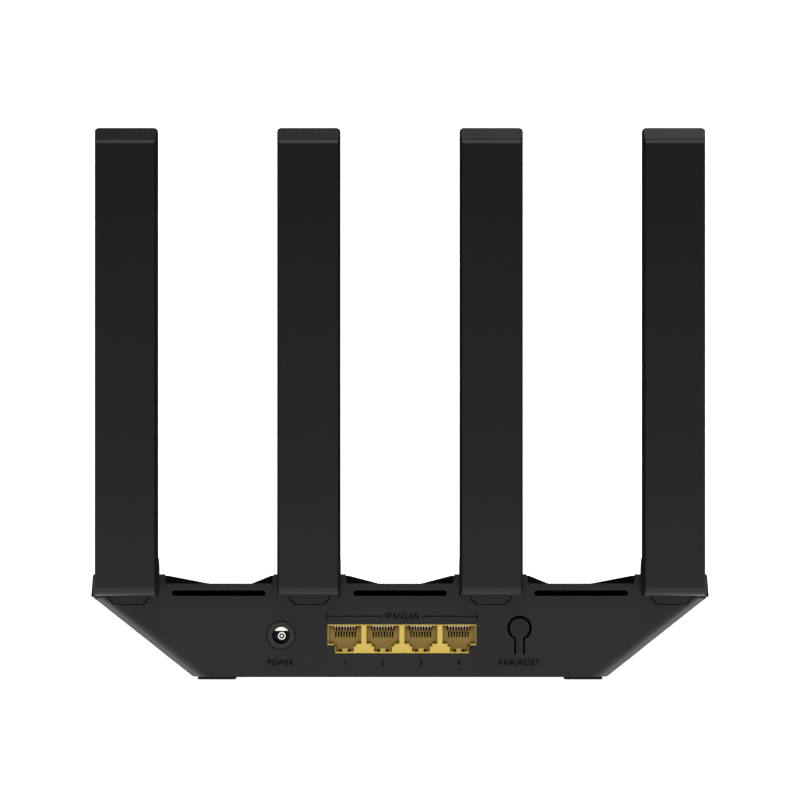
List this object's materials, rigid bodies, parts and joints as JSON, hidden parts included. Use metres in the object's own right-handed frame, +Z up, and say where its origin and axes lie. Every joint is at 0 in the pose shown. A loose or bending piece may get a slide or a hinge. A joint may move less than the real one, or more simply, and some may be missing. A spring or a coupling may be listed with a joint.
{
  "type": "wireless router",
  "caption": "Flat wireless router with a chamfered hull, ribbed sunken top panels, blade antennas on rear hinges, a row of keyed network ports, a barrel power inlet and a reset button.",
  "frame": {"origin": "bottom centre of the whole object's box, on the table under the feet, with the antennas upright", "axes": "+Z up; -Y out of the port wall with the sockets and hinges; +Y towards the status light; +X to the right when facing the port wall"},
  "size_m": [0.2278, 0.1566, 0.202],
  "materials": {
    "housing_black": "fine-textured moulded plastic, charcoal black",
    "antenna_black": "satin moulded plastic, charcoal black",
    "port_yellow": "satin yellow moulded plastic",
    "contact_metal": "bright plated spring metal",
    "foot_rubber": "matt black rubber",
    "board_green": "green solder mask",
    "heat_sink_aluminium": "satin aluminium",
    "shield_steel": "tinned sheet steel",
    "screw_steel": "dark plated steel",
    "jack_black": "black moulded plastic",
    "chip_black": "black moulding compound",
    "thermal_grey": "soft grey pad",
    "clear_guide": "clear moulded plastic",
    "label_white": "blank white label stock",
    "lead_grey": "thin grey coaxial sheath"
  },
  "bodies": {
    "housing": {"antenna_1_lead": "lead_grey", "antenna_2_lead": "lead_grey", "antenna_3_lead": "lead_grey", "antenna_4_lead": "lead_grey", "bottom_shell": "housing_black", "capacitor": "heat_sink_aluminium", "circuit_board": "board_green", "contact_comb_1": "contact_metal", "contact_comb_2": "contact_metal", "contact_comb_3": "contact_metal", "contact_comb_4": "contact_metal", "ethernet_block": "port_yellow", "foot_front_left": "foot_rubber", "foot_front_right": "foot_rubber", "foot_rear_left": "foot_rubber", "foot_rear_right": "foot_rubber", "heat_sink": "heat_sink_aluminium", "hinge_bracket_1": "housing_black", "hinge_bracket_2": "housing_black", "hinge_bracket_3": "housing_black", "hinge_bracket_4": "housing_black", "housing_screw_front_left": "screw_steel", "housing_screw_front_right": "screw_steel", "housing_screw_rear_left": "screw_steel", "housing_screw_rear_right": "screw_steel", "light_guide": "clear_guide", "magnetics_left": "chip_black", "magnetics_right": "chip_black", "power_jack_body": "jack_black", "power_jack_pin": "contact_metal", "power_jack_spring": "contact_metal", "processor_chip": "chip_black", "rating_label": "label_white", "shield_can_left": "shield_steel", "shield_can_right": "shield_steel", "status_led": "clear_guide", "switch_body": "chip_black", "thermal_pad": "thermal_grey", "top_cover": "housing_black"},
    "antenna_1": {"antenna_1_rear_shell": "antenna_black", "antenna_1_front_lid": "antenna_black", "antenna_1_radiator": "board_green", "antenna_1_pin": "screw_steel"},
    "antenna_2": {"antenna_2_rear_shell": "antenna_black", "antenna_2_front_lid": "antenna_black", "antenna_2_radiator": "board_green", "antenna_2_pin": "screw_steel"},
    "antenna_3": {"antenna_3_rear_shell": "antenna_black", "antenna_3_front_lid": "antenna_black", "antenna_3_radiator": "board_green", "antenna_3_pin": "screw_steel"},
    "antenna_4": {"antenna_4_rear_shell": "antenna_black", "antenna_4_front_lid": "antenna_black", "antenna_4_radiator": "board_green", "antenna_4_pin": "screw_steel"},
    "button": {"reset_button": "housing_black"},
    "plunger": {"switch_plunger": "port_yellow"}
  },
  "joints": [
    {"name": "antenna_1_fold", "type": "hinge", "parent": "housing", "child": "antenna_1", "pos_m": [-0.09975, -0.0713, 0.0384], "axis": [1, 0, 0], "range_deg": [0, 90]},
    {"name": "antenna_2_fold", "type": "hinge", "parent": "housing", "child": "antenna_2", "pos_m": [-0.03325, -0.0713, 0.0384], "axis": [1, 0, 0], "range_deg": [0, 90]},
    {"name": "antenna_3_fold", "type": "hinge", "parent": "housing", "child": "antenna_3", "pos_m": [0.03325, -0.0713, 0.0384], "axis": [1, 0, 0], "range_deg": [0, 90]},
    {"name": "antenna_4_fold", "type": "hinge", "parent": "housing", "child": "antenna_4", "pos_m": [0.09975, -0.0713, 0.0384], "axis": [1, 0, 0], "range_deg": [0, 90]},
    {"name": "button_press", "type": "hinge", "parent": "housing", "child": "button", "pos_m": [0.0439, -0.06305, 0.0098], "axis": [-1, 0, 0], "range_deg": [0, 3.5], "stiffness_Nm_per_rad": 0.27},
    {"name": "plunger_travel", "type": "slide", "parent": "housing", "child": "plunger", "axis": [0, 1, 0], "range_m": [0, 0.0006]}
  ],
  "couplings": [
    {"joint": "plunger_travel", "follows": "button_press", "m_per_rad": 0.0093}
  ]
}
